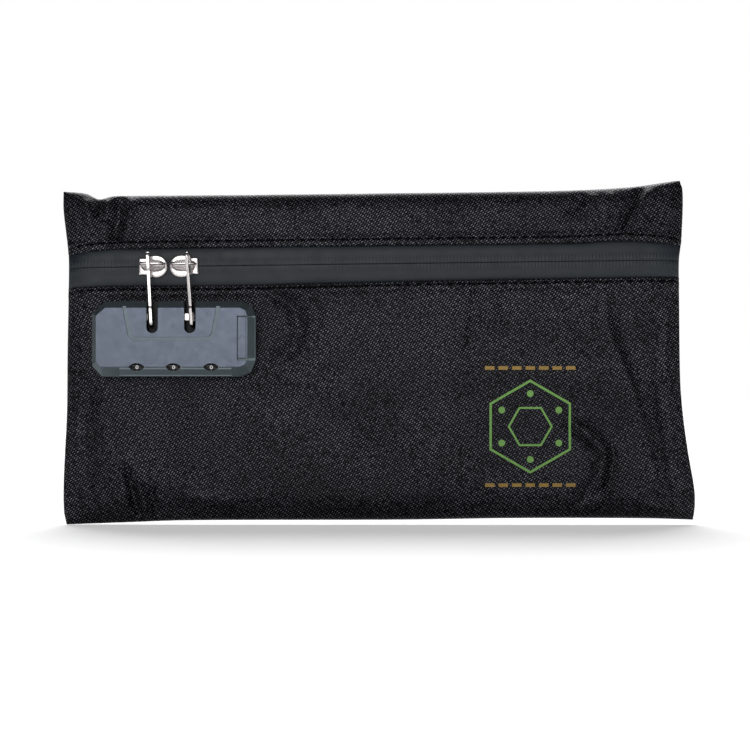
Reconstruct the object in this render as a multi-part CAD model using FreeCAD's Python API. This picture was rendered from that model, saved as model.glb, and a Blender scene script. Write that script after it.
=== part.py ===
import FreeCAD, Part

# A flat locking cash bag: a fabric pouch with a reverse-coil zipper, two head-to-head sliders and a
# three-dial combination lock that holds both zipper pulls.
# Millimetres. +X is to the right as the user faces the front, the front faces -Y, and +Z is up.
# The origin is at the middle of the bounding box, on the bottom edge. The front fabric lies in the plane
# y = 0, so the lock stands out towards -Y and the pocket lies towards +Y.

import math
import os

V = FreeCAD.Vector

# ---- driving dimensions ----
# bag
BAG_OUTLINE = [(-139.5, 0.0), (140.0, 0.0), (134.0, 75.0), (133.5, 153.0), (-140.0, 148.5)]
BAG_DEPTH = 11.0
SHELL = 0.8
LINING = 0.5
MARGIN_SIDE = 12.0  # width of the sloping border between the flat front and the perimeter seam
MARGIN_BOTTOM = 14.0

# zipper: a straight line across the front that rises slightly to the right
ZIP_AT = V(0, 0, 116.3)
ZIP_RISE_DEG = 0.75
BAND_HALF = 7.9
SLIT_HALF = 0.75
TAPE_FRONT = 0.3
TAPE_THICK = 0.6
COIL_DEPTH = 1.2
COIL_OUT = 2.4
STITCH_LONG = 3.3
STITCH_PITCH = 4.7
STITCH_ROWS = [("topstitch_upper", 1, 3.0), ("topstitch_lower", -1, 1.5)]  # side, distance from the zipper band

# sliders
SLIDER_LONG = 12.6
SLIDER_NOSE_HALF = 5.05
SLIDER_TAIL_HALF = 3.75
SLIDER_TAIL_LONG = 3.2
SLIDER_PLATE = 1.3
LEFT_SLIDER_X = -100.2
RIGHT_SLIDER_X = -86.4
BRIDGE_Y = -7.2
BRIDGE_Z = 116.0
BRIDGE_R = 0.8
BRIDGE_POST_IN = 4.15
BRIDGE_POST_OUT = 5.35

# pulls: flat plates that hang edge-on, each turned and tilted a little
PULL_THICK = 1.4
PULL_WIDE = 4.6
PULL_NECK = 3.6
PULL_ABOVE = 5.3
PULL_BELOW = 28.3
LEFT_PULL = dict(x=-101.6, tilt=2.9, yaw=5.0)
RIGHT_PULL = dict(x=-84.0, tilt=4.3, yaw=-10.0)

# lock housing
LOCK_OUTLINE = [
    (-121.5, 66.2),
    (-61.0, 66.2),
    (-56.3, 68.1),
    (-54.3, 72.8),
    (-54.3, 93.0),
    (-56.0, 97.3),
    (-60.0, 99.2),
    (-120.3, 99.2),
    (-126.0, 94.2),
    (-126.0, 70.8),
]
LOCK_BEVELS = [4.3, 4.0, 3.6, 3.3, 3.2, 3.0, 2.9, 2.4, 2.0, 2.8]  # how far each edge of the face is set in
LOCK_FACE = -11.0
LOCK_BEVEL_BASE = -8.4
BASE_THICK = 1.2
WALL = 1.4
FOOT_LEFT = -114.1
FOOT_RIGHT = -64.6
LIP = [(-12, 70.2), (-9.9, 70.2), (-9.9, 69.4), (-8.6, 66.9), (-8.4, 60), (-12, 60)]  # (y, z) of the cut

# slots for the pulls
SLOT_X = [-99.34, -82.8]
SLOT_HALF = 2.53
SLOT_END_Z = 85.2
SLOT_FLOOR = -3.8
SLOT_WALL = 1.2
GROOVE_DEEP = 0.7

# number wheels
DIAL_X = [-106.2, -90.1, -73.6]
DIAL_Y = -5.2
DIAL_Z = 70.2
DIAL_R = 3.8
DIAL_HALF = 3.0
DIGITS = 10
AXLE_R = 1.1
SLEEVE_R = 2.2
GATE_R = 3.0
GATE_X = (4.7, 5.5)  # the gated flange's place along the axle, from the wheel's middle
FEELER_UP = 2.05  # height of the feelers' ends above the axle, just clear of the sleeves

# bolt
FINGER_Z = 92.4
FINGER_TALL = 2.8
FINGER_THICK = 1.6
BOLT_TRAVEL = 2.64
BOLT_BAR_Z = (80.3, 82.9)
FINGER_TIPS = [-101.7, -83.7]
PIN_X = -67.6
PIN_Z = 81.6
PIN_R = 0.7

# release button
BUTTON_TRAVEL = 1.1
RECESS_Z = (73.2, 92.8)
RECESS_X = -62.2
RECESS_FLOOR = -8.4
BUTTON_Z = (74.4, 92.2)
STEM_X = (-61.0, -58.0)
STEM_Z = (79.2, 85.0)

# screws
SCREWS = [(-119.5, 92.5), (-66.3, 93.2), (-118.5, 69.3), (-60.4, 69.3)]
SCREW_R = 1.2
BOSS_R = 2.2
PLATE_BACK = 2.5

# printed emblem
EMBLEM = (67.2, 44.0)
EMBLEM_R = 20.9
PRINT_THICK = 0.1
DASH_OUT = 26.0
DASH_PITCH = 6.0
DASH_LONG = 4.2


# ---- helpers ----
def box(x0, x1, y0, y1, z0, z1):
    return Part.makeBox(x1 - x0, y1 - y0, z1 - z0, V(x0, y0, z0))


def rod_x(x0, x1, r, y, z):
    return Part.makeCylinder(r, x1 - x0, V(x0, y, z), V(1, 0, 0))


def rod_y(y0, y1, r, x, z):
    return Part.makeCylinder(r, y1 - y0, V(x, y0, z), V(0, 1, 0))


def loop(points, y):
    """A closed wire through (x, z) points in the plane at y."""
    corners = [V(x, y, z) for x, z in points]
    return Part.makePolygon(corners + corners[:1])


def prism(points, y0, y1):
    return Part.Face(loop(points, y0)).extrude(V(0, y1 - y0, 0))


def frustum(front, y_front, back, y_back):
    return Part.makeLoft([loop(front, y_front), loop(back, y_back)], True, True)


def inset(points, distances):
    """Moves each edge of a counterclockwise outline inwards, by one distance or a list with one for each."""
    count = len(points)
    if not isinstance(distances, list):
        distances = [distances] * count
    lines = []
    for i in range(count):
        (x0, z0), (x1, z1) = points[i], points[(i + 1) % count]
        length = math.hypot(x1 - x0, z1 - z0)
        dx, dz = (x1 - x0) / length, (z1 - z0) / length
        lines.append((x0 - dz * distances[i], z0 + dx * distances[i], dx, dz))
    found = []
    for i in range(count):
        ax, az, adx, adz = lines[i - 1]
        bx, bz, bdx, bdz = lines[i]
        t = ((bx - ax) * bdz - (bz - az) * bdx) / (adx * bdz - adz * bdx)
        found.append((ax + t * adx, az + t * adz))
    return found


def along_zip(shape, x=0.0):
    """Puts a shape made about the origin on the zipper line, at x."""
    rise = math.tan(math.radians(ZIP_RISE_DEG))
    placed = shape.copy()
    placed.rotate(V(0, 0, 0), V(0, 1, 0), -ZIP_RISE_DEG)
    placed.translate(ZIP_AT + V(x, 0, x * rise))
    return placed


def save(shape, node):
    shape.exportStep("parts/" + node + ".step")


# ---- bag ----
MARGINS = [MARGIN_BOTTOM, MARGIN_SIDE, MARGIN_SIDE, MARGIN_SIDE, MARGIN_SIDE]
SEAM_Y = BAG_DEPTH - SHELL


def tray(depth):
    """The space under the bag's front face, a given depth behind its outer surface."""
    rim = inset(BAG_OUTLINE, depth * 1.3)
    flat = inset(rim, MARGINS)
    return frustum(flat, depth, rim, SEAM_Y)


def strip(w0, w1):
    """A slab across the whole bag between two distances from the zipper line."""
    return along_zip(box(-200, 200, -5, 20, w0, w1))


def screw_holes(r):
    return Part.Compound([rod_y(-12, 5, r, x, z) for x, z in SCREWS])


def bag():
    outer, middle, inner = tray(0.0), tray(SHELL), tray(SHELL + LINING)
    shell, lining = outer.cut(middle), middle.cut(inner)
    below, above = strip(-200, -BAND_HALF), strip(BAND_HALF, 200)
    save(shell.common(below).cut(screw_holes(SCREW_R + 0.2)), "front_panel")
    save(shell.common(above), "upper_front_panel")
    save(lining.common(below).cut(screw_holes(SCREW_R + 0.2)), "front_lining")
    save(lining.common(above), "upper_lining")
    save(prism(BAG_OUTLINE, SEAM_Y, BAG_DEPTH), "back_panel")
    back = inset(BAG_OUTLINE, 3.5)
    save(prism(back, SEAM_Y - LINING, SEAM_Y), "back_lining")
    allowance = prism(inset(BAG_OUTLINE, 4.5), 9.0, 9.6)
    allowance = allowance.cut(prism(inset(BAG_OUTLINE, 9.0), 8.0, 10.0))
    save(allowance.common(box(-150, -129, 0, 20, 12, 138)), "seam_allowance_left")
    save(allowance.common(box(124, 150, 0, 20, 12, 138)), "seam_allowance_right")
    tape = tray(TAPE_FRONT).cut(tray(TAPE_FRONT + TAPE_THICK))
    save(tape.common(strip(SLIT_HALF, BAND_HALF)), "zipper_tape_upper")
    save(tape.common(strip(-BAND_HALF, -SLIT_HALF)), "zipper_tape_lower")


def zipper_trim():
    left, right = -126.0, 120.0
    back = TAPE_FRONT + TAPE_THICK
    coil = along_zip(box(left, right, back, back + COIL_DEPTH, SLIT_HALF, COIL_OUT))
    save(coil, "zipper_coil_upper")
    coil = along_zip(box(left, right, back, back + COIL_DEPTH, -COIL_OUT, -SLIT_HALF))
    save(coil, "zipper_coil_lower")
    for node, side, out in STITCH_ROWS:
        row = []
        middle = side * (BAND_HALF + out)
        for i in range(int((right - left) / STITCH_PITCH)):
            x = left + 1.0 + i * STITCH_PITCH
            stitch = box(x, x + STITCH_LONG, -0.25, 0, middle - 0.25, middle + 0.25)
            row.append(along_zip(stitch))
        save(Part.Compound(row), node)


def hexagon(r, turn):
    x, z = EMBLEM
    corners = [math.radians(60 * i + turn) for i in range(6)]
    return [(x + r * math.cos(a), z + r * math.sin(a)) for a in corners]


def emblem():
    """A generic badge: two nested hexagons with dots between them, and a straight dashed row above and below."""
    x, z = EMBLEM
    pieces = []
    for r, turn, line in ((EMBLEM_R, 30, 1.2), (EMBLEM_R * 0.48, 0, 1.0)):
        outer = prism(hexagon(r, turn), -PRINT_THICK, 0)
        pieces.append(outer.cut(prism(hexagon(r - line, turn), -1, 1)))
    for dot_x, dot_z in hexagon(EMBLEM_R * 0.70, 30):
        pieces.append(rod_y(-PRINT_THICK, 0, 1.5, dot_x, dot_z))
    for row in (z + DASH_OUT, z - DASH_OUT):
        for i in range(7):
            start = x + (i - 3) * DASH_PITCH - DASH_LONG / 2
            pieces.append(box(start, start + DASH_LONG, -PRINT_THICK, 0, row - 0.8, row + 0.8))
    save(Part.Compound(pieces), "printed_emblem")


# ---- zipper hardware ----
def slider_face():
    """The outline of a slider, nose towards +X, as a face in the plane y = 0."""
    half = SLIDER_LONG / 2
    waist = -half + SLIDER_TAIL_LONG
    nose, tail = SLIDER_NOSE_HALF, SLIDER_TAIL_HALF
    tip = V(half, 0, 0)
    top = V(1.0, 0, nose)
    bottom = V(1.0, 0, -nose)
    edges = [
        Part.makeLine(V(-half, 0, -tail), V(waist, 0, -tail)),
        Part.makeLine(V(waist, 0, -tail), V(waist, 0, -tail - 0.7)),
        Part.Arc(V(waist, 0, -tail - 0.7), V(-1.2, 0, -nose + 0.1), bottom).toShape(),
        Part.Arc(bottom, V(4.9, 0, -3.2), tip).toShape(),
        Part.Arc(tip, V(4.9, 0, 3.2), top).toShape(),
        Part.Arc(top, V(-1.2, 0, nose - 0.1), V(waist, 0, tail + 0.7)).toShape(),
        Part.makeLine(V(waist, 0, tail + 0.7), V(waist, 0, tail)),
        Part.makeLine(V(waist, 0, tail), V(-half, 0, tail)),
        Part.makeLine(V(-half, 0, tail), V(-half, 0, -tail)),
    ]
    return Part.Face(Part.Wire(edges))


def slider(side, x, nose_right):
    """Two plates with the tape between them, joined by a neck through the slit, and a bridge in front."""
    face = slider_face()
    front = face.copy()
    front.translate(V(0, -SLIDER_PLATE, 0))
    front = front.extrude(V(0, SLIDER_PLATE, 0))
    rear = face.copy()
    rear.translate(V(0, 2.5, 0))
    rear = rear.extrude(V(0, 0.9, 0))
    neck = box(1.5, 4.5, -0.1, 2.6, -0.45, 0.45)
    body = front.fuse([rear, neck])
    for low in (2.75, -3.75):
        body = body.fuse(box(-5.9, 0.5, 1.3, 2.6, low, low + 1.0))
    if not nose_right:
        body = body.mirror(V(0, 0, 0), V(1, 0, 0))
    save(along_zip(body, x).removeSplitter(), side + "_slider_body")
    bar_z = BRIDGE_Z - (ZIP_AT.z + x * math.tan(math.radians(ZIP_RISE_DEG)))
    bar = rod_x(-BRIDGE_POST_OUT, BRIDGE_POST_OUT, BRIDGE_R, BRIDGE_Y, bar_z)
    bridge = bar
    for start in (-BRIDGE_POST_OUT, BRIDGE_POST_IN):
        width = BRIDGE_POST_OUT - BRIDGE_POST_IN
        post = box(start, start + width, BRIDGE_Y - 0.8, -SLIDER_PLATE, bar_z - 0.9, bar_z + 0.9)
        bridge = bridge.fuse(post)
    save(along_zip(bridge, x).removeSplitter(), side + "_slider_bridge")


def slot_plate(half, top, bottom, y0=0.0, x0=-2.0, x1=2.0):
    """A round-ended slot along Z, as a solid that crosses a plate lying in the YZ plane."""
    shape = box(x0, x1, y0 - half, y0 + half, bottom + half, top - half)
    for z in (top - half, bottom + half):
        shape = shape.fuse(rod_x(x0, x1, half, y0, z))
    return shape


def pull(side, x, tilt, yaw):
    half = PULL_THICK / 2
    wide = PULL_WIDE / 2
    eye = slot_plate(wide, PULL_ABOVE, -4.2, 0.0, -half, half)
    end = slot_plate(wide, -18.0, -PULL_BELOW, 0.0, -half, half)
    neck = box(-half, half, -PULL_NECK / 2, PULL_NECK / 2, -20.0, -2.5)
    plate = eye.fuse([end, neck])
    plate = plate.cut(slot_plate(1.3, PULL_ABOVE - 1.2, -1.4))
    hole = box(-2, 2, -1.3, 1.3, FINGER_Z - BRIDGE_Z - 1.9, FINGER_Z - BRIDGE_Z + 1.9)
    plate = plate.cut(hole).removeSplitter()
    plate.rotate(V(0, 0, 0), V(0, 0, 1), yaw)
    plate.rotate(V(0, 0, 0), V(0, 1, 0), -tilt)
    plate.translate(V(x, BRIDGE_Y, BRIDGE_Z))
    save(plate, side + "_pull")


# ---- combination lock ----
def lock_shell():
    """The cover's outer shape with its bevelled face, less the hollow behind it."""
    face = inset(LOCK_OUTLINE, LOCK_BEVELS)
    outer = prism(LOCK_OUTLINE, LOCK_BEVEL_BASE, -BASE_THICK)
    outer = outer.fuse(frustum(face, LOCK_FACE, LOCK_OUTLINE, LOCK_BEVEL_BASE))
    walls = inset(LOCK_OUTLINE, WALL)
    inner = prism(walls, LOCK_BEVEL_BASE, 0)
    inner_face = inset(face, 0.6)
    inner = inner.fuse(frustum(inner_face, LOCK_FACE + WALL, walls, LOCK_BEVEL_BASE))
    return outer, outer.cut(inner)


def slot_space(x, half, y0, y1):
    """The room inside one pull slot: round at the bottom and open at the top of the lock."""
    centre = SLOT_END_Z + SLOT_HALF
    return box(x - half, x + half, y0, y1, centre, 101).fuse(rod_y(y0, y1, half, x, centre))


def groove():
    """A shallow U-shaped line on the face around both slots, with round lower corners."""
    deep = LOCK_FACE + GROOVE_DEEP
    outside = prism([(-112.8, 99), (-109.7, 81.9), (-72.4, 81.9), (-69.3, 99)], -12, deep)
    inside = prism([(-111.2, 99), (-108.4, 83.5), (-73.7, 83.5), (-70.9, 99)], -13, deep + 1)
    return round_low_corners(outside, 4.2).cut(round_low_corners(inside, 2.6))


def round_low_corners(shape, r):
    """Rounds the two lower edges that run along Y."""
    edges = []
    for edge in shape.Edges:
        a, b = edge.Vertexes[0].Point, edge.Vertexes[1].Point
        if abs(a.y - b.y) > 0.5 and a.z < 90:
            edges.append(edge)
    return shape.makeFillet(r, edges)


def dial_window(x):
    """An eye-shaped opening through the face over a wheel."""
    left, right = V(x - 3.5, 0, 70.35), V(x + 3.5, 0, 70.35)
    upper = Part.Arc(left, V(x, 0, 72.05), right).toShape()
    lower = Part.Arc(right, V(x, 0, 68.65), left).toShape()
    shape = Part.Face(Part.Wire([upper, lower])).extrude(V(0, 12 + DIAL_Y, 0))
    shape.translate(V(0, -12, 0))
    return shape


def lip_cut():
    """Sets the lower bevel back between the two feet."""
    corners = [V(FOOT_LEFT, y, z) for y, z in LIP]
    return Part.Face(Part.makePolygon(corners + corners[:1])).extrude(V(FOOT_RIGHT - FOOT_LEFT, 0, 0))


def lock_cover():
    outer, cover = lock_shell()
    added = []
    for x in SLOT_X:
        added.append(slot_space(x, SLOT_HALF + SLOT_WALL, LOCK_FACE, SLOT_FLOOR + 1.0).common(outer))
    for x, z in SCREWS:
        added.append(rod_y(LOCK_FACE + WALL - 0.2, -BASE_THICK, BOSS_R, x, z).common(outer))
    for x0, x1 in ((-114.5, -111.2), (-65.8, -63.6)):
        added.append(box(x0, x1, -8.0, -BASE_THICK, 66.9, DIAL_Z + 1.7).common(outer))
    floor = box(RECESS_X - 1.0, -54.0, RECESS_FLOOR, RECESS_FLOOR + 1.0, 72.2, 93.8)
    side = box(RECESS_X - 1.0, RECESS_X, LOCK_FACE, RECESS_FLOOR + 1.0, 72.2, 93.8)
    added.append(floor.fuse(side).common(outer))
    cover = cover.fuse(added)

    cuts = [slot_space(x, SLOT_HALF, -12, SLOT_FLOOR) for x in SLOT_X]
    cuts.append(groove())
    cuts.append(box(RECESS_X, -50, -12, RECESS_FLOOR, RECESS_Z[0], RECESS_Z[1]))
    low, high = STEM_Z
    cuts.append(box(STEM_X[0] - 0.3, STEM_X[1] + 0.3, -9, -5, low - BUTTON_TRAVEL - 0.3, high + 0.3))
    cuts.append(lip_cut())
    for x in DIAL_X:
        cuts.append(rod_x(x - DIAL_HALF - 0.2, x + DIAL_HALF + 0.2, DIAL_R + 0.25, DIAL_Y, DIAL_Z))
        cuts.append(dial_window(x))
        cuts.append(rod_x(x + GATE_X[0] - 0.25, x + GATE_X[1] + 0.25, GATE_R + 0.25, DIAL_Y, DIAL_Z))
    cuts.append(rod_x(-113.0, -64.4, AXLE_R, DIAL_Y, DIAL_Z))
    for x in SLOT_X:
        finger = FINGER_TALL / 2 + 0.25
        thick = FINGER_THICK / 2 + 0.25
        wall = x - SLOT_HALF - SLOT_WALL
        y0, y1 = BRIDGE_Y - thick, BRIDGE_Y + thick
        cuts.append(box(wall - 0.5, wall + SLOT_WALL + 0.5, y0, y1, FINGER_Z - finger, FINGER_Z + finger))
    cuts += [rod_y(-8.6, 5, SCREW_R, x, z) for x, z in SCREWS]
    save(cover.cut(cuts).removeSplitter(), "lock_cover")


def lock_plates():
    base = prism(inset(LOCK_OUTLINE, 0.3), -BASE_THICK, 0).cut(screw_holes(SCREW_R + 0.1))
    save(base, "lock_base")
    front = SHELL + LINING
    plate = prism(inset(LOCK_OUTLINE, 0.5), front, PLATE_BACK).cut(screw_holes(SCREW_R + 0.1))
    save(plate, "lock_backing_plate")
    screws = []
    for x, z in SCREWS:
        shaft = rod_y(-8.6, PLATE_BACK, SCREW_R, x, z)
        head = rod_y(PLATE_BACK, PLATE_BACK + 1.3, 2.2, x, z)
        recess = box(x - 1.4, x + 1.4, PLATE_BACK + 0.7, PLATE_BACK + 2, z - 0.3, z + 0.3)
        recess = recess.fuse(box(x - 0.3, x + 0.3, PLATE_BACK + 0.7, PLATE_BACK + 2, z - 1.4, z + 1.4))
        screws.append(shaft.fuse(head).cut(recess))
    save(Part.Compound(screws), "lock_screws")


def dials():
    save(rod_x(-113.0, -64.4, AXLE_R, DIAL_Y, DIAL_Z), "dial_axle")
    for number, x in enumerate(DIAL_X, 1):
        wheel = rod_x(x - DIAL_HALF, x + DIAL_HALF, DIAL_R, DIAL_Y, DIAL_Z)
        wheel = wheel.cut(rod_x(x - 4, x + 4, SLEEVE_R, DIAL_Y, DIAL_Z))
        notches = []
        for i in range(DIGITS):
            turn = math.radians((i + 0.5) * 360 / DIGITS + 16)
            y = DIAL_Y - (DIAL_R + 0.15) * math.cos(turn)
            z = DIAL_Z - (DIAL_R + 0.15) * math.sin(turn)
            notches.append(rod_x(x - 4, x + 4, 0.5, y, z))
        save(wheel.cut(notches), "dial_%d" % number)
        # the flange's gate lets the bolt's feeler through when the wheel stands at 0
        sleeve = rod_x(x - DIAL_HALF, x + GATE_X[1], SLEEVE_R, DIAL_Y, DIAL_Z)
        sleeve = sleeve.fuse(rod_x(x + GATE_X[0], x + GATE_X[1], GATE_R, DIAL_Y, DIAL_Z))
        sleeve = sleeve.cut(rod_x(x - 4, x + 6, AXLE_R + 0.06, DIAL_Y, DIAL_Z))
        gate = box(x + 4.0, x + 6.0, -8.4, -6.0, DIAL_Z + FEELER_UP - 0.2, DIAL_Z + 4)
        save(sleeve.cut(gate), "cam_sleeve_%d" % number)
    leaf = box(-112.5, -69.5, -9.3, -8.3, 75.8, 76.2)
    for x in DIAL_X:
        leaf = leaf.fuse(box(x - 1.0, x + 1.0, -9.0, -8.4, 73.2, 76.0))
    save(leaf, "dial_detent_spring")


def bolt():
    """A bar below the slots with two hooked fingers, three feelers and a drive pin."""
    y0, y1 = BRIDGE_Y - FINGER_THICK / 2, BRIDGE_Y + FINGER_THICK / 2
    low, high = BOLT_BAR_Z
    bar = box(-108.6, PIN_X + 1.0, y0, y1, low, high)
    pieces = []
    for x, tip in zip(SLOT_X, FINGER_TIPS):
        arm = x - SLOT_HALF - SLOT_WALL - 0.3 - BOLT_TRAVEL
        z0, z1 = FINGER_Z - FINGER_TALL / 2, FINGER_Z + FINGER_TALL / 2
        pieces.append(box(arm - 2.6, arm, y0, y1, low, z1))
        pieces.append(box(arm - 0.5, tip, y0, y1, z0, z1))
    for x in DIAL_X:
        pieces.append(box(x + 3.4, x + 4.4, y0, y1, DIAL_Z + FEELER_UP, low + 0.5))
    pieces.append(rod_y(y0, y1 + 2.2, PIN_R, PIN_X, PIN_Z))
    save(bar.fuse(pieces).removeSplitter(), "lock_bolt")


def release_button():
    """A cap that wraps over the right bevel, with a stem and a tab whose slanted slot drives the bolt."""
    low, high = BUTTON_Z
    outer, _ = lock_shell()
    cap = outer.common(box(RECESS_X + 0.4, -50, -12, RECESS_FLOOR - 0.15, low, high))
    cap = cap.cut(box(-58.3, -57.7, -12, LOCK_FACE + 0.4, low - 1, high + 1))
    arrow = [(-61.0, 82.6), (-60.0, 83.6), (-59.0, 82.6), (-59.0, 83.6), (-60.0, 84.6), (-61.0, 83.6)]
    cap = cap.cut(prism(arrow, -12, LOCK_FACE + 0.3))
    stem = box(STEM_X[0], STEM_X[1], RECESS_FLOOR - 0.3, -4.8, STEM_Z[0], STEM_Z[1])
    tab = box(PIN_X - 2.6, STEM_X[1], -6.1, -4.8, STEM_Z[0], STEM_Z[1])
    start, end = (PIN_X, PIN_Z), (PIN_X + BOLT_TRAVEL, PIN_Z + BUTTON_TRAVEL)
    slant = math.degrees(math.atan2(end[1] - start[1], end[0] - start[0]))
    length = math.hypot(end[0] - start[0], end[1] - start[1])
    slot = box(0, length, -7, -4, -PIN_R - 0.1, PIN_R + 0.1)
    slot = slot.fuse([rod_y(-7, -4, PIN_R + 0.1, 0, 0), rod_y(-7, -4, PIN_R + 0.1, length, 0)])
    slot.rotate(V(0, 0, 0), V(0, 1, 0), -slant)
    slot.translate(V(start[0], 0, start[1]))
    save(cap.fuse([stem, tab]).cut(slot).removeSplitter(), "release_button")


os.makedirs("parts", exist_ok=True)
bag()
zipper_trim()
emblem()
slider("left", LEFT_SLIDER_X, True)
slider("right", RIGHT_SLIDER_X, False)
pull("left", **LEFT_PULL)
pull("right", **RIGHT_PULL)
lock_cover()
lock_plates()
dials()
bolt()
release_button()
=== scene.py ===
import math

import bpy
from mathutils import Matrix, Vector, noise

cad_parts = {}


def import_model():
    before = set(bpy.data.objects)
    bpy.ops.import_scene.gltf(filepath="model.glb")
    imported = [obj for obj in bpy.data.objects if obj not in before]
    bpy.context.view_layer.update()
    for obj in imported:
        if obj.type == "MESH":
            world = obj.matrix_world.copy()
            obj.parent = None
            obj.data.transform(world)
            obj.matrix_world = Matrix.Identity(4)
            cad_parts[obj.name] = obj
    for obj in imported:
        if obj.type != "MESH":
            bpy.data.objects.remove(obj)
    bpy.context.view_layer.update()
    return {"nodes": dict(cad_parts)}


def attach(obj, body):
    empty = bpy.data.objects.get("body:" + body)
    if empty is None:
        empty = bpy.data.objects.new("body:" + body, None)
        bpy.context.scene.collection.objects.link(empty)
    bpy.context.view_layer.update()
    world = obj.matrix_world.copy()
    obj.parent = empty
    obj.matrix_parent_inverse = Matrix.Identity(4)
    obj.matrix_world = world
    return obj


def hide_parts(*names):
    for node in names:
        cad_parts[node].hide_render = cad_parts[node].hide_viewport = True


# The locking cash bag. The fabric pouch, its zipper, its print, its sliders and the dials' numbers are
# modelled here. The coils, the pulls and the lock are the CAD solids, some of them with softened edges.
# Lengths are millimetres in the part's frame, and MM turns them into Blender's metres.
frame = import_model()
nodes = frame["nodes"]
MM = 0.001

# zipper line and sliders, as in the CAD model
ZIP_Z = 116.3
ZIP_RISE = math.radians(0.75)
BAND_HALF = 7.9
STITCH_OUT = {1: 3.0, -1: 1.5}  # distance of each stitch row from the zipper band, above and below it
STITCH_PITCH = 4.7
STITCH_LONG = 3.3
STITCH_BEGINS = -125.0  # one stitch of each row begins here, which places all the others
STITCH_START = (STITCH_BEGINS + STITCH_LONG / 2) % STITCH_PITCH
THREAD_R = 0.36
RIB_PITCH = 1.5  # of the faint ribs that the coil presses through the tape
LEFT_SLIDER_X = -100.2
RIGHT_SLIDER_X = -86.4
BRIDGE_Z = 116.0
BRIDGE_R = 0.8
SLOT_X = (-99.34, -82.8)
SLOT_HALF = 2.62
LOCK_AT = (-90.0, 83.0)
DIAL_X = (-106.2, -90.1, -73.6)
DIAL_AXIS = (-5.2, 70.2)
DIAL_R = 3.8
EMBLEM = (67.2, 44.0)
EMBLEM_R = 20.9
DASH_OUT = 26.0
DASH_PITCH = 6.0
DASH_LONG = 4.2
PRINT_PROUD = 0.05

# depth of the bag
SEAM_Y = 5.6
FRONT_Y = 0.03
BACK_Y = 10.95
# how far in from each seam the front and the back reach their full depth
FRONT_LEFT_ROUND = 11.5
FRONT_BOTTOM_ROUND = 13.0
FRONT_TOP_ROUND = 9.0
BACK_SIDE_ROUND = 17.0
BACK_BOTTOM_ROUND = 15.0
BACK_TOP_ROUND = 11.0
# the linings: their gap to the cloth, and the share of the bag's width where they start and that they span
LINING_GAP = 2.3
BACK_LINING_GAP = 0.9
LINING_START = 0.035
LINING_SPAN = 0.93


# ---- curves ----
def smooth_curve(points):
    """A function of one value that passes smoothly through the points."""
    slopes = []
    for i in range(len(points)):
        (x0, y0), (x1, y1) = points[max(i - 1, 0)], points[min(i + 1, len(points) - 1)]
        slopes.append((y1 - y0) / (x1 - x0))

    def value(x):
        if x <= points[0][0]:
            return points[0][1]
        for i in range(len(points) - 1):
            (x0, y0), (x1, y1) = points[i], points[i + 1]
            if x <= x1:
                span = x1 - x0
                t = (x - x0) / span
                rise = y0 * (1 + 2 * t) * (1 - t) ** 2 + y1 * t * t * (3 - 2 * t)
                return rise + span * t * (1 - t) * (slopes[i] * (1 - t) - slopes[i + 1] * t)
        return points[-1][1]

    return value


def ramp(x, low, high):
    """0 up to low, 1 from high on, and a smooth rise between them."""
    t = min(max((x - low) / (high - low), 0.0), 1.0)
    return t * t * (3 - 2 * t)


top_z = smooth_curve([
    (-140, 148.2), (-131, 147.4), (-125, 144.9), (-119, 146.2), (-110, 146.4), (-60, 146.8),
    (0, 147.5), (70, 148.4), (98, 149.3), (116, 150.6), (134, 153.0),
])
bottom_z = smooth_curve([(-139, 0.1), (-116, 0.9), (-86, 1.9), (10, 2.2), (60, 2.9), (120, 2.8), (140, 2.2)])
left_x = smooth_curve([
    (0, -138.6), (6, -139.8), (20, -139.9), (50, -138.5), (78, -138.2), (106, -137.7),
    (120, -137.7), (130, -138.8), (141, -140.0), (149, -140.0),
])
right_x = smooth_curve([
    (0, 139.0), (8, 140.2), (16, 140.0), (32, 137.3), (48, 135.1), (64, 133.8), (100, 133.3),
    (118, 133.2), (127, 134.2), (142, 134.9), (150, 134.7), (153, 133.7),
])
# how far the fabric's two edges beside the zipper stray from a straight band
band_top = smooth_curve([
    (-138, -2.0), (-128, -0.7), (-112, 0.1), (90, 0.1), (99, 0.7), (112, 0.7), (134, -1.2),
])
band_low = smooth_curve([(-138, -1.1), (-120, -0.6), (-60, -0.9), (0, -0.2), (90, 0.2), (134, 0.2)])
# how far in from the right edge the fabric starts to turn away
right_turn = smooth_curve([(0, 11), (20, 13), (42, 16), (64, 21), (84, 28), (100, 29), (110, 15), (150, 15)])

SEAM_SPREAD = 1.007
OUTLINE_MIDDLE = (-1.7, 66.9)


def widened(curve, middle):
    """The same outline curve, a little further from the middle, as the soft seam bulges outwards."""
    return lambda at: middle + (curve(at) - middle) * SEAM_SPREAD


left_x, right_x = widened(left_x, OUTLINE_MIDDLE[0]), widened(right_x, OUTLINE_MIDDLE[0])
top_z = widened(top_z, OUTLINE_MIDDLE[1])


def zip_z(x):
    """Height of the zipper's slit."""
    return ZIP_Z + x * math.tan(ZIP_RISE)


def edge_round(distance, width):
    """0 at a seam, rising as a quarter ellipse to 1 at the given distance."""
    t = min(max(distance / width, 0.0), 1.0)
    return math.sqrt(max(0.0, 1 - (1 - t) ** 2))


# ---- folds ----
def along(points, x, z):
    """(distance from a polyline, position along it from 0 to 1)."""
    best, place = 1e9, 0.0
    for i in range(len(points) - 1):
        (x0, z0), (x1, z1) = points[i], points[i + 1]
        dx, dz = x1 - x0, z1 - z0
        t = min(max(((x - x0) * dx + (z - z0) * dz) / (dx * dx + dz * dz), 0.0), 1.0)
        gap = math.hypot(x - x0 - t * dx, z - z0 - t * dz)
        if gap < best:
            best, place = gap, (i + t) / (len(points) - 1)
    return best, place


FOLD_SCALE = 2.0
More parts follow.
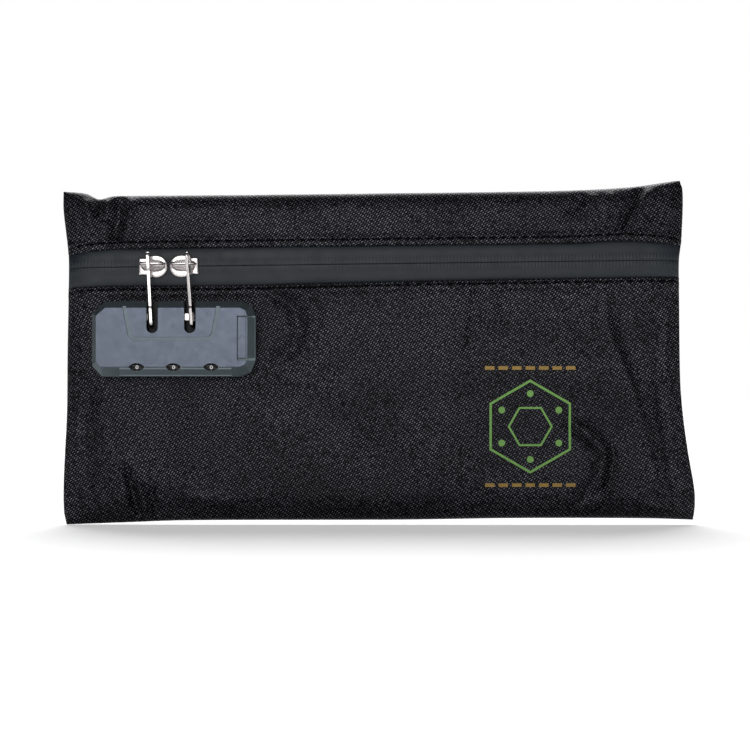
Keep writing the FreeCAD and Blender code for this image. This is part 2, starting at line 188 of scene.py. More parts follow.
# each fold: its line, its half-width and its height, which FOLD_SCALE multiplies (a valley is negative)
UPPER_FOLDS = [
    ([(-114.5, 147), (-117.5, 125)], 2.6, -1.5),
    ([(-109.5, 147), (-112, 126)], 2.2, 0.5),
    ([(-126, 147), (-120, 134)], 2.4, -0.8),
    ([(-130, 146), (-127, 128)], 2.6, 0.7),
    ([(-121, 146), (-121.5, 132)], 1.6, 0.6),
    ([(90, 146), (84, 138)], 2.6, -0.8),
    ([(96, 148), (92, 136)], 2.6, 0.4),
    ([(122, 151), (112, 137), (109, 129)], 2.0, 0.9),
    ([(117, 151), (107, 134)], 2.0, -0.8),
    ([(128, 150), (119, 134)], 2.2, -0.7),
    ([(131, 143), (125, 129)], 1.8, 0.7),
    ([(104, 149), (99, 133)], 2.4, 0.4),
]
LOWER_FOLDS = [
    ([(100, 106), (102.5, 85), (111, 65), (118, 43), (122.5, 20), (129, 5)], 2.0, 0.4),
    ([(106, 98), (109, 84), (117, 62)], 4.0, -0.7),
    ([(86, 46), (96, 38), (100, 33), (98, 22), (88, 8)], 3.6, -1.3),
    ([(103, 36), (104, 30), (101, 12)], 1.7, 0.7),
    ([(-49, 105), (-38, 97), (-35.5, 88), (-38, 79), (-49, 70)], 3.0, -0.8),
    ([(-40, 108), (-29, 97), (-28, 84), (-36, 72)], 3.2, 0.45),
    ([(-112, 26), (-109, 12), (-106, 4)], 1.8, -1.2),
    ([(-106.5, 20), (-103, 4)], 1.5, 0.9),
    ([(-101.5, 17), (-98.5, 4)], 1.6, -0.9),
    ([(-120, 21), (-112, 6)], 2.2, 0.6),
    ([(-95, 20), (-80, 12), (-60, 10)], 3.6, 0.35),
    ([(42.5, 106), (42, 90), (40, 76)], 2.6, -0.5),
    ([(55, 106), (56, 88)], 2.6, -0.4),
    ([(48.5, 106), (48.5, 86)], 2.6, 0.35),
    ([(80, 106), (86, 92), (94, 80)], 4.0, -0.4),
    ([(-128, 64), (-131, 40), (-128, 12)], 3.4, -0.7),
    ([(-122, 60), (-118, 30), (-108, 18)], 4.5, 0.5),
    ([(-55, 62), (-25, 48), (0, 28)], 9.0, -0.4),
    ([(-10, 60), (30, 30), (60, 12)], 9.0, 0.35),
    ([(124, 70), (127, 40), (132, 12)], 2.2, -0.7),
    ([(129, 96), (127, 60)], 2.0, 0.5),
    ([(112, 14), (120, 8), (134, 7)], 2.2, 0.4),
]
BACK_FOLDS = [
    ([(-120, 140), (-95, 100)], 4.0, -0.6),
    ([(120, 145), (90, 100)], 4.0, -0.7),
    ([(-125, 10), (-90, 45)], 3.5, -0.7),
    ([(128, 12), (95, 40)], 3.5, -0.8),
    ([(-60, 80), (0, 70), (60, 85)], 10.0, -0.5),
    ([(20, 130), (35, 90), (30, 40)], 7.0, -0.4),
]


def fold_height(folds, x, z):
    """How far the folds raise the cloth at a place. A fold fades towards both ends of its line."""
    total = 0.0
    for points, width, height in folds:
        gap, place = along(points, x, z)
        if gap < 3 * width:
            fade = ramp(place, -0.05, 0.2) * (1 - ramp(place, 0.75, 1.05)) + 0.25
            total += FOLD_SCALE * height * min(fade, 1.0) * math.exp(-((gap / width) ** 2))
    return total


def valley_depth(folds, x, z):
    """Depth of the deepest valley near a place, spread wide enough for the lining's large faces."""
    deepest = 0.0
    for points, _, height in folds:
        if height < 0:
            near = 1 - ramp(along(points, x, z)[0], 9.0, 16.0)
            deepest = max(deepest, -FOLD_SCALE * height * near)
    return deepest


def near_lock(x, z):
    """1 where the lock clamps the fabric flat, 0 away from it."""
    across = 1 - ramp(abs(x - LOCK_AT[0]), 36.5, 44.0)
    return across * (1 - ramp(abs(z - LOCK_AT[1]), 17.5, 24.0))


def front_base(x, z):
    """The front face without its folds: flat, and rounded off to the seams."""
    sides = edge_round(x - left_x(z), FRONT_LEFT_ROUND) * edge_round(right_x(z) - x, right_turn(z))
    ends = edge_round(z - bottom_z(x), FRONT_BOTTOM_ROUND) * edge_round(top_z(x) - z, FRONT_TOP_ROUND)
    left_slope = 1.7 * (1 - ramp(x - left_x(z), 2, 18)) * ramp(66 - z, 0, 14)
    right_slope = 2.3 * (1 - ramp(right_x(z) - x, 3, right_turn(z) + 8)) * ramp(104 - z, 0, 16)
    slope = left_slope + right_slope
    return SEAM_Y - (SEAM_Y - FRONT_Y - slope) * sides * ends


def front_surface(x, z, folds):
    """The front face with its folds and a gentle unevenness, which both die out at the seams and the lock."""
    swell = 0.45 * noise.noise(Vector((x * 0.016, z * 0.022, 3.1)))
    swell += 0.16 * noise.noise(Vector((x * 0.07, z * 0.06, 7.7)))
    room = min((x - left_x(z)) / 4, (right_x(z) - x) / 4, (z - bottom_z(x)) / 3, (top_z(x) - z) / 3, 1.0)
    calm = (1 - near_lock(x, z)) * max(room, 0.0)
    return front_base(x, z) - (fold_height(folds, x, z) + swell - 0.1) * calm


def back_surface(x, z):
    sides = edge_round(x - left_x(z), BACK_SIDE_ROUND) * edge_round(right_x(z) - x, BACK_SIDE_ROUND)
    ends = edge_round(z - bottom_z(x), BACK_BOTTOM_ROUND) * edge_round(top_z(x) - z, BACK_TOP_ROUND)
    swell = 0.5 + 0.5 * noise.noise(Vector((x * 0.018, z * 0.024, 11.3)))
    depth = (BACK_Y - SEAM_Y) * sides * ends * (1 - 0.09 * swell)
    return SEAM_Y + depth + fold_height(BACK_FOLDS, x, z) * sides * ends


# ---- mesh helpers ----
def new_object(name, verts, faces, material, smooth=True):
    mesh = bpy.data.meshes.new(name)
    mesh.from_pydata([tuple(c * MM for c in v) for v in verts], [], faces)
    mesh.polygons.foreach_set("use_smooth", [smooth] * len(mesh.polygons))
    mesh.materials.append(material)
    mesh.update()
    piece = bpy.data.objects.new(name, mesh)
    bpy.context.scene.collection.objects.link(piece)
    return piece


def grid(rows, flip=False):
    """Vertices and quads of a grid given as rows of points."""
    wide = len(rows[0])
    faces = []
    for j in range(len(rows) - 1):
        for i in range(wide - 1):
            a = j * wide + i
            quad = (a, a + 1, a + wide + 1, a + wide)
            faces.append(quad[::-1] if flip else quad)
    return [p for row in rows for p in row], faces


def rings(loops):
    """Vertices and faces that join closed loops of equal length in turn, with a cap on the last."""
    count = len(loops[0])
    faces = []
    for j in range(len(loops) - 1):
        for i in range(count):
            k = (i + 1) % count
            faces.append((j * count + i, j * count + k, (j + 1) * count + k, (j + 1) * count + i))
    faces.append([(len(loops) - 1) * count + i for i in range(count)])
    return [p for loop in loops for p in loop], faces


def tube(path, radius, sides=8, flat=1.0):
    """A closed tube along a path of points; flat scales its section across the path and the z axis."""
    up = Vector((0, 0, 1))
    loops = []
    for i, p in enumerate(path):
        ahead = Vector(path[min(i + 1, len(path) - 1)]) - Vector(path[max(i - 1, 0)])
        side = ahead.cross(up).normalized()
        other = side.cross(ahead).normalized()
        loop = []
        for k in range(sides):
            turn = 2 * math.pi * k / sides
            sideways = side * radius * flat * math.cos(turn)
            loop.append(tuple(Vector(p) + sideways + other * radius * math.sin(turn)))
        loops.append(loop)
    verts, faces = rings(loops)
    faces.append(list(reversed(range(sides))))
    return verts, faces


def join(parts):
    """(vertices, faces) of several meshes as one."""
    verts, faces = [], []
    for more_verts, more_faces in parts:
        start = len(verts)
        verts += more_verts
        faces += [[start + i for i in f] for f in more_faces]
    return verts, faces


# ---- shader helpers ----
class Shader:
    """A material being built, with short calls for the nodes it uses."""

    def __init__(self, name):
        self.material = bpy.data.materials.new(name)
        self.material.use_nodes = True
        self.tree = self.material.node_tree
        self.bsdf = self.tree.nodes["Principled BSDF"]
        coord = self.tree.nodes.new("ShaderNodeTexCoord")
        self.place = coord.outputs["Object"]

    def feed(self, socket, value):
        """Gives a socket a number, a colour or the output of another node."""
        if isinstance(value, (int, float)):
            socket.default_value = value
        elif isinstance(value, tuple):
            socket.default_value = (*value, 1)
        else:
            self.tree.links.new(value, socket)

    def put(self, name, value):
        self.bsdf.inputs[name].default_value = value

    def link(self, source, name):
        self.tree.links.new(source, self.bsdf.inputs[name])

    def math(self, kind, a, b=0.0, c=0.0):
        node = self.tree.nodes.new("ShaderNodeMath")
        node.operation = kind
        for socket, value in zip(node.inputs, (a, b, c)):
            self.feed(socket, value)
        return node.outputs[0]

    def axes(self):
        node = self.tree.nodes.new("ShaderNodeSeparateXYZ")
        self.tree.links.new(self.place, node.inputs[0])
        return node.outputs

    def noise(self, scale, detail):
        node = self.tree.nodes.new("ShaderNodeTexNoise")
        node.inputs["Scale"].default_value = scale
        node.inputs["Detail"].default_value = detail
        self.tree.links.new(self.place, node.inputs["Vector"])
        return node.outputs["Fac"]

    def between(self, value, low, high, to_low, to_high):
        node = self.tree.nodes.new("ShaderNodeMapRange")
        node.inputs["From Min"].default_value = low
        node.inputs["From Max"].default_value = high
        node.inputs["To Min"].default_value = to_low
        node.inputs["To Max"].default_value = to_high
        self.tree.links.new(value, node.inputs["Value"])
        return node.outputs[0]

    def mix(self, factor, color_a, color_b):
        node = self.tree.nodes.new("ShaderNodeMix")
        node.data_type = "RGBA"
        self.feed(node.inputs[0], factor)
        self.feed(node.inputs[6], color_a)
        self.feed(node.inputs[7], color_b)
        return node.outputs[2]

    def bump(self, height, strength, distance):
        node = self.tree.nodes.new("ShaderNodeBump")
        node.inputs["Strength"].default_value = strength
        node.inputs["Distance"].default_value = distance
        self.tree.links.new(height, node.inputs["Height"])
        self.link(node.outputs[0], "Normal")


def woven(name, dark, light, pitch, rough, strength, gloss):
    """Close woven cloth: short raised floats that lean to the right, with the hard shine of filament yarn.
    The floats' lighter colour is partly their real stronger shine and partly painted glints of light.
    """
    s = Shader(name)
    x, _, z = s.axes()
    turn = 2 * math.pi / (pitch * MM)
    rise = s.math("ADD", s.math("MULTIPLY", x, 0.62 * turn), s.math("MULTIPLY", z, 0.78 * turn))
    across = s.math("SUBTRACT", s.math("MULTIPLY", z, 0.86 * turn), s.math("MULTIPLY", x, 0.80 * turn))
    weave = s.math("MULTIPLY", s.math("SINE", across), s.math("SINE", s.math("MULTIPLY", rise, 0.40)))
    height = s.math("MULTIPLY_ADD", weave, 0.5, 0.5)
    floats = s.between(height, 0.55, 1.0, 0.0, 1.0)
    uneven = s.between(s.noise(900, 2), 0.35, 0.65, 0.05, 1.0)
    patchy = s.between(s.noise(26, 3), 0.35, 0.65, 0.6, 1.0)
    # painted glints: the lighter colour on the raised floats sets their shine, and it also paints glints of
    # light into the yarn's colour
    lift = s.math("MULTIPLY", s.math("MULTIPLY", floats, uneven), patchy)
    s.link(s.mix(lift, dark, light), "Base Color")
    s.link(s.between(s.noise(60, 3), 0.3, 0.7, rough - 0.06, rough + 0.06), "Roughness")
    s.put("Specular IOR Level", 0.14)
    s.put("Sheen Weight", 0.02)
    s.put("Metallic", gloss)
    s.put("Sheen Roughness", 0.4)
    s.bump(height, strength, 0.00012)
    return s.material


def coated(name, color_a, color_b):
    """A smooth rubbery coating, slightly uneven in colour and shine."""
    s = Shader(name)
    s.link(s.mix(s.between(s.noise(35, 4), 0.35, 0.65, 0, 1), color_a, color_b), "Base Color")
    s.link(s.between(s.noise(160, 4), 0.3, 0.7, 0.42, 0.55), "Roughness")
    s.put("Specular IOR Level", 0.45)
    s.bump(s.noise(2600, 2), 0.25, 0.00003)
    return s.material


def plain(name, color, rough, metallic=0.0, grain=0.0, level=0.5, grain_scale=5200):
    """One colour with faint patches, and a fine grain where it is asked for."""
    s = Shader(name)
    s.put("Metallic", metallic)
    s.put("Specular IOR Level", level)
    lighter = tuple(min(c * 1.16 + 0.002, 1) for c in color)
    s.link(s.mix(s.between(s.noise(220, 3), 0.3, 0.7, 0, 1), color, lighter), "Base Color")
    s.link(s.between(s.noise(400, 3), 0.3, 0.7, rough * 0.88, rough * 1.12), "Roughness")
    if grain:
        s.bump(s.noise(grain_scale, 2), grain, 0.00004)
    return s.material


def lock_paint():
    """Satin slate paint, bluish on the front face. Behind the face it turns greener, which is painted shade
    standing in for the light and shade on the bevels. Inside the pull slots it is near black, which is
    painted shade in these recesses.
    """
    s = Shader("lock_cover")
    s.put("Metallic", 0.7)
    x, y, z = s.axes()
    face = s.mix(s.between(s.noise(180, 3), 0.3, 0.7, 0, 1), (0.100, 0.118, 0.156), (0.118, 0.136, 0.176))
    # painted shade: behind the front face the paint turns to a greener second tone, which stands in for the
    # light and shade on the bevels
    behind = s.between(y, -10.9 * MM, -10.5 * MM, 0.0, 1.0)
    body = s.mix(behind, face, (0.110, 0.140, 0.155))
    # painted shade: inside the pull slots the paint is near black, for the shade that falls in these recesses
    inside = 0.0
    for slot_x in SLOT_X:
        across = s.math("ABSOLUTE", s.math("SUBTRACT", x, slot_x * MM))
        inside = s.math("MAXIMUM", inside, s.math("LESS_THAN", across, SLOT_HALF * MM))
    inside = s.math("MULTIPLY", inside, s.math("GREATER_THAN", y, -10.6 * MM))
    inside = s.math("MULTIPLY", inside, s.math("GREATER_THAN", z, 84.9 * MM))
    s.link(s.mix(inside, body, (0.002, 0.002, 0.003)), "Base Color")
    s.link(s.between(s.noise(400, 3), 0.3, 0.7, 0.34, 0.42), "Roughness")
    s.bump(s.noise(4200, 2), 0.3, 0.00004)
    return s.material


FABRIC = woven("bag_fabric", (0.0008, 0.0008, 0.0012), (0.34, 0.335, 0.40), 1.2, 0.42, 0.8, 0.45)
LINING = woven("lining", (0.012, 0.012, 0.013), (0.03, 0.03, 0.033), 0.6, 0.6, 0.3, 0.0)
TAPE = coated("zipper_tape", (0.010, 0.015, 0.021), (0.014, 0.020, 0.028))
COIL = plain("zipper_coil", (0.010, 0.010, 0.011), 0.4)
THREAD = plain("thread", (0.0012, 0.0012, 0.0015), 0.7, grain=0.4, level=0.06)
GREEN = plain("print_green", (0.19, 0.42, 0.09), 0.6, grain=0.3, grain_scale=2200)
OCHRE = plain("print_ochre", (0.36, 0.22, 0.045), 0.6, grain=0.3, grain_scale=2200)
METAL = plain("slider_metal", (0.70, 0.66, 0.66), 0.20, metallic=1.0)
STEEL = plain("steel", (0.55, 0.56, 0.58), 0.3, metallic=1.0, grain=0.1)
BRASS = plain("sleeve", (0.66, 0.50, 0.26), 0.3, metallic=1.0)
COVER = lock_paint()
BASE = plain("lock_base", (0.012, 0.014, 0.016), 0.5, grain=0.3)
DIAL = plain("dial", (0.008, 0.008, 0.010), 0.25)
WHITE = plain("dial_numbers", (0.85, 0.85, 0.83), 0.4)


# ---- bag ----
def columns(count):
    """Places across the bag from 0 to 1, closer together near the side seams."""
    found = []
    for i in range(count + 1):
        t = i / count
        found.append(t - 0.105 * math.sin(2 * math.pi * t))
    return found


def place_x(share, z):
    """The x at a share of the bag's width, at height z."""
    return left_x(z) + share * (right_x(z) - left_x(z))


FINE = 1.0  # the share of the full number of rows and columns
COLUMNS = columns(int(440 * FINE))
# distances from the zipper band at which the hem has rows of vertices
HEM = (
    0.0, 0.001, 0.08, 0.25, 0.5, 0.8, 1.1, 1.3, 1.5, 1.7, 1.9,
    2.3, 2.7, 2.9, 3.0, 3.15, 3.4, 3.8, 4.3, 5.0, 6.0,
)
HEM_TUCK = 1.1  # how far the hem's edge is tucked in behind the fold


def hem_height(distance, x, side):
    """How far the folded hem stands out: a round fold edge, and a valley with a pinch at every stitch."""
    if distance == 0.0:
        return -HEM_TUCK
    fold = 0.62 * math.sqrt(min(distance / 0.5, 1.0)) * (1 - ramp(distance, 3.2, 6.0))
    gap = (distance - STITCH_OUT[side]) / 0.42
    pinch = 0.5 + 0.5 * math.cos(2 * math.pi * (x - STITCH_START) / STITCH_PITCH)
    return fold - (0.30 + 0.32 * pinch) * math.exp(-gap * gap)


def front_panel(name, side, folds):
    """The fabric on one side of the zipper (side -1 below it, 1 above), from its hem out to the seam."""
    edge = band_top if side > 0 else band_low
    rim = top_z if side > 0 else bottom_z
    steps = int((34 if side > 0 else 100) * FINE) + 4
    rows = []
    for distance in HEM:
        row = []
        for share in COLUMNS:
            x = place_x(share, ZIP_Z + side * BAND_HALF)
            z = zip_z(x) + side * (BAND_HALF + distance) + edge(x)
            x = place_x(share, z)
            row.append((x, front_surface(x, z, folds) - hem_height(distance, x, side), z))
        rows.append(row)
    for k in range(1, steps + 1):
        part = 1 - (1 - k / steps) ** 1.4
        row = []
        for i, share in enumerate(COLUMNS):
            x, _, start = rows[len(HEM) - 1][i]
            z = start + part * (rim(x) - start)
            x = place_x(share, z)
            z = start + part * (rim(x) - start)
            row.append((x, front_surface(x, z, folds), z))
        rows.append(row)
    verts, faces = grid(rows, flip=side > 0)
    return new_object(name, verts, faces, FABRIC)


def back_panel():
    steps = int(110 * FINE) + 8
    rows = []
    for k in range(steps + 1):
        t = k / steps
        part = t - 0.12 * math.sin(2 * math.pi * t)
        row = []
        for share in COLUMNS[::2]:
            x = place_x(share, part * 150)
            z = bottom_z(x) + part * (top_z(x) - bottom_z(x))
            x = place_x(share, z)
            row.append((x, back_surface(x, z), z))
        rows.append(row)
    verts, faces = grid(rows, flip=True)
    return new_object("back_cloth", verts, faces, FABRIC)


def linings():
    """A thin inner bag inside the outer one, open behind the zipper, and clear of the deep folds."""
    made = []
    for name, side, folds in (("lining_below", -1, LOWER_FOLDS), ("lining_above", 1, UPPER_FOLDS)):
        rim = top_z if side > 0 else bottom_z
        rows = []
        for k in range(13):
            part = k / 12
            row = []
            for i in range(61):
                share = LINING_START + LINING_SPAN * i / 60
                x = place_x(share, ZIP_Z)
                start = zip_z(x) + side * (BAND_HALF + 3)
                z = start + part * (rim(x) - side * 5 - start)
                depth = LINING_GAP + valley_depth(folds, x, z) * (1 - near_lock(x, z))
                row.append((x, front_base(x, z) + depth, z))
            rows.append(row)
        verts, faces = grid(rows, flip=side > 0)
        made.append(new_object(name, verts, faces, LINING))
    rows = []
    for k in range(25):
        part = k / 24
        row = []
        for i in range(61):
            x = place_x(LINING_START + LINING_SPAN * i / 60, 75)
            z = bottom_z(x) + 5 + part * (top_z(x) - bottom_z(x) - 10)
            row.append((x, back_surface(x, z) - BACK_LINING_GAP, z))
        rows.append(row)
    verts, faces = grid(rows, flip=True)
    made.append(new_object("lining_back", verts, faces, LINING))
    return made


# distance from the slit and depth of the tape there, behind the front plane
TAPE_PROFILE = [
    (9.2, 1.6), (8.3, 1.35), (7.6, 1.1), (6.8, 0.82), (5.8, 0.60), (4.6, 0.46), (3.6, 0.36), (3.0, 0.26),
    (2.5, 0.17), (2.1, 0.12), (1.7, 0.10), (1.3, 0.10), (0.9, 0.11), (0.5, 0.13), (0.2, 0.16),
    (0.08, 0.22), (0.035, 0.4), (0.03, 1.2),
]


def tape(name, side):
    """One half of the zipper tape, with the coil's faint ribs beside the slit."""
    edge = band_top if side > 0 else band_low
    count = int(1080 * FINE)
    rows = []
    for distance, depth in TAPE_PROFILE:
        row = []
        for i in range(count + 1):
            x = place_x(i / count, ZIP_Z)
            drift = edge(x) * ramp(distance, 2.5, 7.5)
            z = zip_z(x) + side * distance + drift
            rib = math.exp(-((distance - 1.7) / 1.0) ** 2) * 0.08 * math.cos(2 * math.pi * x / RIB_PITCH)
            slow = 0.05 * noise.noise(Vector((x * 0.05, distance * 0.1, 5.0 + side)))
            row.append((x, front_base(x, z) + depth - rib + slow, z))
        rows.append(row)
    verts, faces = grid(rows, flip=side > 0)
    return new_object(name, verts, faces, TAPE)


def stitches(name, side):
    """A row of short thread floats that dip into the cloth at both ends."""
    edge = band_top if side > 0 else band_low
    folds = UPPER_FOLDS if side > 0 else LOWER_FOLDS
    out = STITCH_OUT[side]
    pieces = []
    for i in range(-30, 30):  # more than the bag's width; those past the seams are left out
        middle = STITCH_START + i * STITCH_PITCH
        if not left_x(ZIP_Z) + 3 < middle < right_x(ZIP_Z) - 3:
            continue
        path = []
        for k in range(7):
            share = k / 6 - 0.5
            x = middle + share * STITCH_LONG
            z = zip_z(x) + side * (BAND_HALF + out) + edge(x)
            lift = hem_height(out, x, side) + 0.22 - 0.5 * (2 * abs(share)) ** 4
            path.append((x, front_surface(x, z, folds) - lift, z + 0.05 * math.sin(i * 12.9)))
        pieces.append(tube(path, THREAD_R))
    verts, faces = join(pieces)
    return new_object(name, verts, faces, THREAD)


# ---- print ----
def on_cloth(x, z):
    """A point of the print, just in front of the cloth."""
    return (x, front_surface(x, z, LOWER_FOLDS) - PRINT_PROUD, z)


def hexagon(r, turn):
    """The corners of a hexagon round the badge's middle, with the first one again at the end."""
    x, z = EMBLEM
    corners = [math.radians(60 * i + turn) for i in range(7)]
    return [(x + r * math.cos(a), z + r * math.sin(a)) for a in corners]


def hexagon_band(r, turn, wide):
    """A printed hexagon outline that follows the cloth."""
    outer, inner = hexagon(r, turn), hexagon(r - wide, turn)
    rows = [[], []]
    for row, corners in zip(rows, (inner, outer)):
        for (x0, z0), (x1, z1) in zip(corners, corners[1:]):
            for k in range(14):
                row.append(on_cloth(x0 + (x1 - x0) * k / 14, z0 + (z1 - z0) * k / 14))
        row.append(on_cloth(*corners[-1]))
    return grid(rows)


def printed_dot(x, z, r):
    edge = [math.radians(18 * k) for k in range(20)]
    return [on_cloth(x + r * math.cos(a), z + r * math.sin(a)) for a in edge], [list(range(20))]


def printed_dash(x, z, long, tall):
    rows = []
    for up in (-tall / 2, tall / 2):
        rows.append([on_cloth(x - long / 2 + long * k / 6, z + up) for k in range(7)])
    return grid(rows)


def emblem():
    """A generic badge: two nested hexagons with dots between them, and a dashed row above and below."""
    x, z = EMBLEM
    green = [hexagon_band(EMBLEM_R, 30, 1.2), hexagon_band(EMBLEM_R * 0.48, 0, 1.0)]
    green += [printed_dot(dot_x, dot_z, 1.5) for dot_x, dot_z in hexagon(EMBLEM_R * 0.70, 30)[:6]]
    ochre = []
    for row in (z + DASH_OUT, z - DASH_OUT):
        ochre += [printed_dash(x + (i - 3) * DASH_PITCH, row, DASH_LONG, 1.6) for i in range(7)]
    made = []
    for name, parts, material in (("badge_hexagons", green, GREEN), ("badge_dashes", ochre, OCHRE)):
        verts, faces = join(parts)
        made.append(new_object(name, verts, faces, material))
    return made


# ---- sliders ----
def slider_outline():
    """Half of a slider's outline, from the nose tip round to the middle of the tail."""
    count = 30
    half = []
    for k in range(count + 1):
        t = math.pi / 2 * k / count
        half.append((1.0 + 5.3 * math.cos(t) ** 0.92, 5.05 * math.sin(t) ** 0.88))
    for u in (0.0, -1.0, -2.0, -2.7):
        half.append((u, 5.05 - 0.10 * (1 - u) ** 1.4))
    half += [(-3.05, 4.05), (-3.1, 3.8), (-3.6, 3.75), (-4.6, 3.75), (-5.6, 3.75), (-6.15, 3.7), (-6.3, 3.45)]
    half += [(-6.3, 2.3), (-6.3, 1.1)]
    return half


def slider(side, x, nose_right):
    """A slider's plate and the bridge that its pull hangs on."""
    upper = slider_outline()
    outline = upper + [(u, -w) for u, w in reversed(upper[1:])]
    mirror = 1 if nose_right else -1
    place = Matrix.Translation((x, 0, zip_z(x))) @ Matrix.Rotation(-ZIP_RISE, 4, "Y")

    def ring(grow_u, grow_w, y):
        found = [place @ Vector((mirror * (0.4 + (u - 0.4) * grow_u), y, w * grow_w)) for u, w in outline]
        return [tuple(p) for p in found]

    def oval(long, tall, y):
        found = []
        for u, w in outline:
            turn = math.atan2(w / 5.0, (u - 0.4) / 6.0)
            u_oval, w_oval = 0.1 + long * math.cos(turn), tall * math.sin(turn)
            found.append(tuple(place @ Vector((mirror * u_oval, y, w_oval))))
        return found

    loops = [ring(0.97, 0.96, 0.06), ring(0.995, 0.99, -0.05), ring(1, 1, -0.2), ring(1, 1, -0.85)]
    loops += [ring(0.985, 0.98, -1.05), ring(0.95, 0.94, -1.2)]
    loops += [ring(0.88, 0.86, -1.28), ring(0.80, 0.76, -1.30)]
    loops += [oval(5.3, 2.1, -1.32), oval(5.2, 1.95, -1.25), oval(5.1, 1.85, -0.6), oval(4.7, 1.6, -0.5)]
    verts, faces = rings(loops)
    back = [(0.97, 0.96, 2.5), (1, 1, 2.7), (1, 1, 3.2), (0.96, 0.95, 3.4)]
    rear = rings([ring(*step) for step in back])
    rear[1].append(list(range(len(outline)))[::-1])
    neck = tube([tuple(place @ Vector((mirror * 3.0, y, 0))) for y in (0.0, 1.2, 2.6)], 0.45, 8, 3.0)
    body = new_object(side + "_slider_plate", *join([(verts, faces), rear, neck]), METAL)
    if mirror < 0:
        body.data.flip_normals()
    bar_z = BRIDGE_Z - zip_z(x)
    path = []
    for end in (-1, 1):
        leg = [(end * 4.95, -0.4), (end * 4.85, -3.0), (end * 4.75, -5.4)]
        for k in range(1, 6):
            turn = math.pi / 2 * k / 5
            leg.append((end * (3.15 + 1.6 * math.cos(turn)), -5.6 - 1.6 * math.sin(turn)))
        path += leg if end < 0 else leg[::-1]
    points = [tuple(place @ Vector((u, y, bar_z))) for u, y in path]
    verts, faces = tube(points, BRIDGE_R, 14)
    bridge = new_object(side + "_slider_crown", verts, faces, METAL)
    return body, bridge


# ---- lock ----
def soften(node, width):
    """Rounds a CAD node's sharp edges a little, as moulded and pressed parts have."""
    piece = nodes[node]
    weld = piece.modifiers.new("weld", "WELD")
    weld.merge_threshold = 2e-6
    bevel = piece.modifiers.new("bevel", "BEVEL")
    bevel.width = width * MM
    bevel.segments = 3
    bevel.limit_method = "ANGLE"
    bevel.angle_limit = math.radians(35)
    bevel.harden_normals = True


def paint(node, material):
    """Gives a CAD node one material."""
    mesh = nodes[node].data
    mesh.materials.clear()
    mesh.materials.append(material)


DIGIT_SIZE = 2.25
DIGIT_WIDEN = 1.25
DIGIT_PROUD = 0.03


def digit_mesh(digit):
    """(vertices, faces) of one number, centred, in millimetres, in the plane of x and y."""
    curve = bpy.data.curves.new("digit", "FONT")
    curve.body = str(digit)
    curve.size = DIGIT_SIZE
    curve.align_x = "CENTER"
    curve.align_y = "CENTER"
    curve.offset = 0.05
    holder = bpy.data.objects.new("digit", curve)
    bpy.context.scene.collection.objects.link(holder)
    graph = bpy.context.evaluated_depsgraph_get()
    mesh = bpy.data.meshes.new_from_object(holder.evaluated_get(graph))
    verts = [tuple(v.co) for v in mesh.vertices]
    faces = [list(p.vertices) for p in mesh.polygons]
    bpy.data.objects.remove(holder)
    bpy.data.meshes.remove(mesh)
    bpy.data.curves.remove(curve)
    return verts, faces


def dial_numbers(number, x0):
    """The numbers 0 to 9 round a wheel, with 0 at the front."""
    parts = []
    y0, z0 = DIAL_AXIS
    r = DIAL_R + DIGIT_PROUD
    for digit in range(10):
        verts, faces = digit_mesh(digit)
        middle = math.radians(36 * digit)
        bent = []
        for x, up, _ in verts:
            turn = middle + up / r
            bent.append((x0 + x * DIGIT_WIDEN, y0 - r * math.cos(turn), z0 + r * math.sin(turn)))
        parts.append((bent, faces))
    return new_object("numbers_%d" % number, *join(parts), WHITE, smooth=False)


# ---- build ----
lower_cloth = front_panel("front_cloth", -1, LOWER_FOLDS)
upper_cloth = front_panel("upper_cloth", 1, UPPER_FOLDS)
rear_cloth = back_panel()
inner = linings()
tape_up, tape_low = tape("tape_upper", 1), tape("tape_lower", -1)
stitch_up, stitch_low = stitches("stitches_upper", 1), stitches("stitches_lower", -1)
marks = emblem()
left_parts = slider("left", LEFT_SLIDER_X, True)
right_parts = slider("right", RIGHT_SLIDER_X, False)

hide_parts("front_panel")
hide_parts("upper_front_panel")
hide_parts("back_panel")
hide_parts("front_lining", "seam_allowance_left")
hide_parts("upper_lining", "seam_allowance_right")
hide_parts("back_lining")
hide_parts("zipper_tape_upper")
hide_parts("zipper_tape_lower")
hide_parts("topstitch_upper")
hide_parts("topstitch_lower")
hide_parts("printed_emblem")
for side, parts in (("left", left_parts), ("right", right_parts)):
    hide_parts(side + "_slider_body")
    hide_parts(side + "_slider_bridge")

fixed = [lower_cloth, upper_cloth, rear_cloth, tape_up, tape_low, stitch_up, stitch_low]
for piece in [*fixed, *inner, *marks, *left_parts]:
    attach(piece, "bag")
for piece in right_parts:
    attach(piece, "right_slider")
for number, x in enumerate(DIAL_X, 1):
    numbers = dial_numbers(number, x)
    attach(numbers, "number_wheel_%d" % number)

FINISHES = {
    "zipper_coil_upper": COIL, "zipper_coil_lower": COIL, "left_pull": METAL, "right_pull": METAL,
    "lock_cover": COVER, "lock_base": BASE, "release_button": COVER, "lock_backing_plate": STEEL,
    "lock_screws": STEEL, "dial_axle": STEEL, "dial_detent_spring": STEEL, "lock_bolt": METAL,
}
for number in (1, 2, 3):
    FINISHES["dial_%d" % number] = DIAL
    FINISHES["cam_sleeve_%d" % number] = BRASS
for node, material in FINISHES.items():
    paint(node, material)

SOFTENED = {
    "lock_cover": 0.3, "release_button": 0.25, "left_pull": 0.25, "right_pull": 0.25,
    "lock_base": 0.2, "lock_bolt": 0.15, "dial_1": 0.15, "dial_2": 0.15, "dial_3": 0.15,
}
for node, width in SOFTENED.items():
    soften(node, width)


# ---- studio ----
FLOOR_HALF = 4000


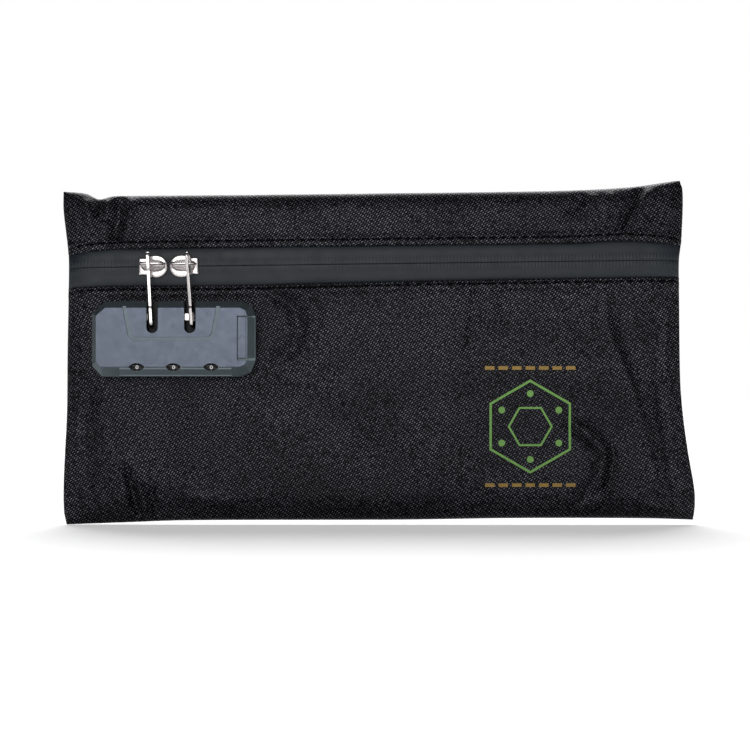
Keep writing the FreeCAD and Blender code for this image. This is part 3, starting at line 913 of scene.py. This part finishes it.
def floor():
    """A pale matt floor. It glows a little, most of it for the camera, to come up to the backdrop."""
    s = Shader("floor")
    s.put("Base Color", (0.86, 0.86, 0.86, 1))
    s.put("Roughness", 0.8)
    s.put("Specular IOR Level", 0.1)
    s.put("Emission Color", (1, 1, 1, 1))
    ray = s.tree.nodes.new("ShaderNodeLightPath")
    s.link(s.math("MULTIPLY_ADD", ray.outputs["Is Camera Ray"], 0.34, 0.07), "Emission Strength")
    verts = [(x * FLOOR_HALF, y * FLOOR_HALF, 0) for x, y in ((-1, -1), (1, -1), (1, 1), (-1, 1))]
    ground = new_object("floor", verts, [(0, 1, 2, 3)], s.material, smooth=False)


def world():
    """A white backdrop for the camera. The light on the object comes mostly from the front."""
    sky = bpy.data.worlds.new("studio")
    bpy.context.scene.world = sky
    sky.use_nodes = True
    tree = sky.node_tree
    coord = tree.nodes.new("ShaderNodeTexCoord")
    split = tree.nodes.new("ShaderNodeSeparateXYZ")
    tree.links.new(coord.outputs["Generated"], split.inputs[0])
    fade = tree.nodes.new("ShaderNodeMapRange")
    for name, value in (("From Min", -0.99), ("From Max", -0.62), ("To Min", 1.05), ("To Max", 0.05)):
        fade.inputs[name].default_value = value
    tree.links.new(split.outputs[1], fade.inputs["Value"])
    ray = tree.nodes.new("ShaderNodeLightPath")
    pick = tree.nodes.new("ShaderNodeMix")
    pick.inputs[3].default_value = 1.0
    tree.links.new(ray.outputs["Is Camera Ray"], pick.inputs[0])
    tree.links.new(fade.outputs[0], pick.inputs[2])
    back = tree.nodes["Background"]
    back.inputs["Color"].default_value = (1.0, 1.0, 1.0, 1)
    tree.links.new(pick.outputs[0], back.inputs["Strength"])


def soft_light(name, place, aim, size, watts):
    lamp = bpy.data.lights.new(name, "AREA")
    lamp.shape = "RECTANGLE"
    lamp.size, lamp.size_y = size
    lamp.energy = watts
    holder = bpy.data.objects.new(name, lamp)
    holder.location = place
    holder.rotation_euler = (Vector(aim) - Vector(place)).to_track_quat("-Z", "Y").to_euler()
    bpy.context.scene.collection.objects.link(holder)


def soft_sun(strength, direction, spread):
    lamp = bpy.data.lights.new("sun", "SUN")
    lamp.energy = strength
    lamp.angle = math.radians(spread)
    holder = bpy.data.objects.new("sun", lamp)
    holder.rotation_euler = Vector(direction).to_track_quat("-Z", "Y").to_euler()
    bpy.context.scene.collection.objects.link(holder)


def camera():
    """Straight in front, at the photograph's viewing angle."""
    eye = bpy.data.cameras.new("camera")
    eye.lens = 86.5
    eye.sensor_width = 36
    holder = bpy.data.objects.new("camera", eye)
    holder.location = (-0.00173, -0.8, 0.06687)
    holder.rotation_euler = (math.radians(90), 0, 0)
    bpy.context.scene.collection.objects.link(holder)
    bpy.context.scene.camera = holder


floor()
world()
soft_light("key", (-0.18, -1.15, 0.30), (0, 0, 0.07), (0.30, 0.30), 1.6)
soft_sun(2.9, (0.05, -0.6, -0.8), 50)
camera()
bpy.context.scene.view_settings.view_transform = "Standard"
